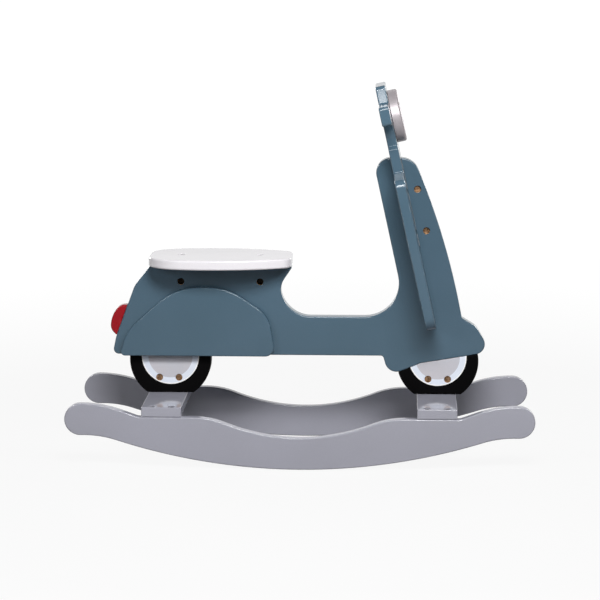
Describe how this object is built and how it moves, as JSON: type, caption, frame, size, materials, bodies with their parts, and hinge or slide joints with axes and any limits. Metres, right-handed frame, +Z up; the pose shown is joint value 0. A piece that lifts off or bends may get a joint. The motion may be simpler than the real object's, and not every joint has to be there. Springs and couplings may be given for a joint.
{
  "type": "rocking scooter toy",
  "caption": "Ride-on rocking toy in the form of a motor scooter, cut from painted boards on two curved rockers, with a seat and a handlebar board.",
  "frame": {"origin": "on the floor, under the middle of the rockers, in the toy's centre plane", "axes": "+X towards the front, along the rockers; +Y to the rider's left; +Z up"},
  "size_m": [0.705, 0.255, 0.5699],
  "materials": {
    "blue_paint": "satin petrol blue paint on board",
    "grey_paint": "satin light grey paint on board",
    "white_paint": "satin white paint on board",
    "black_paint": "satin black paint with a painted white and grey hub, on board",
    "silver_paint": "satin silver paint on board",
    "red_paint": "gloss red paint on board",
    "brass": "brass-coloured barrel nut",
    "steel": "dark socket bolt",
    "dowel_wood": "bare beech"
  },
  "bodies": {
    "root": {"body_board": "blue_paint", "bolt_rocker_front_left_1": "steel", "bolt_rocker_front_left_2": "steel", "bolt_rocker_front_right_1": "steel", "bolt_rocker_front_right_2": "steel", "bolt_rocker_rear_left_1": "steel", "bolt_rocker_rear_left_2": "steel", "bolt_rocker_rear_right_1": "steel", "bolt_rocker_rear_right_2": "steel", "bolt_seat_front": "steel", "bolt_seat_rear": "steel", "bolt_steering_high": "steel", "bolt_steering_low": "steel", "bolt_wheel_front_1": "steel", "bolt_wheel_front_2": "steel", "bolt_wheel_rear_1": "steel", "bolt_wheel_rear_2": "steel", "cowl_left": "blue_paint", "cowl_right": "blue_paint", "crossbar_front": "grey_paint", "crossbar_rear": "grey_paint", "dowel_cowl_front": "dowel_wood", "dowel_cowl_rear": "dowel_wood", "dowel_headlight": "dowel_wood", "dowel_tail_light": "dowel_wood", "dowel_wheel_front_1": "dowel_wood", "dowel_wheel_front_2": "dowel_wood", "dowel_wheel_rear_1": "dowel_wood", "dowel_wheel_rear_2": "dowel_wood", "handlebar_board": "blue_paint", "headlight": "silver_paint", "nut_rocker_front_left_1": "brass", "nut_rocker_front_left_2": "brass", "nut_rocker_front_right_1": "brass", "nut_rocker_front_right_2": "brass", "nut_rocker_rear_left_1": "brass", "nut_rocker_rear_left_2": "brass", "nut_rocker_rear_right_1": "brass", "nut_rocker_rear_right_2": "brass", "nut_seat_front": "brass", "nut_seat_rear": "brass", "nut_steering_high": "brass", "nut_steering_low": "brass", "nut_wheel_front_1": "brass", "nut_wheel_front_2": "brass", "nut_wheel_rear_1": "brass", "nut_wheel_rear_2": "brass", "rocker_left": "grey_paint", "rocker_right": "grey_paint", "seat_board": "white_paint", "tail_light": "red_paint", "wheel_front": "black_paint", "wheel_rear": "black_paint"}
  },
  "joints": []
}
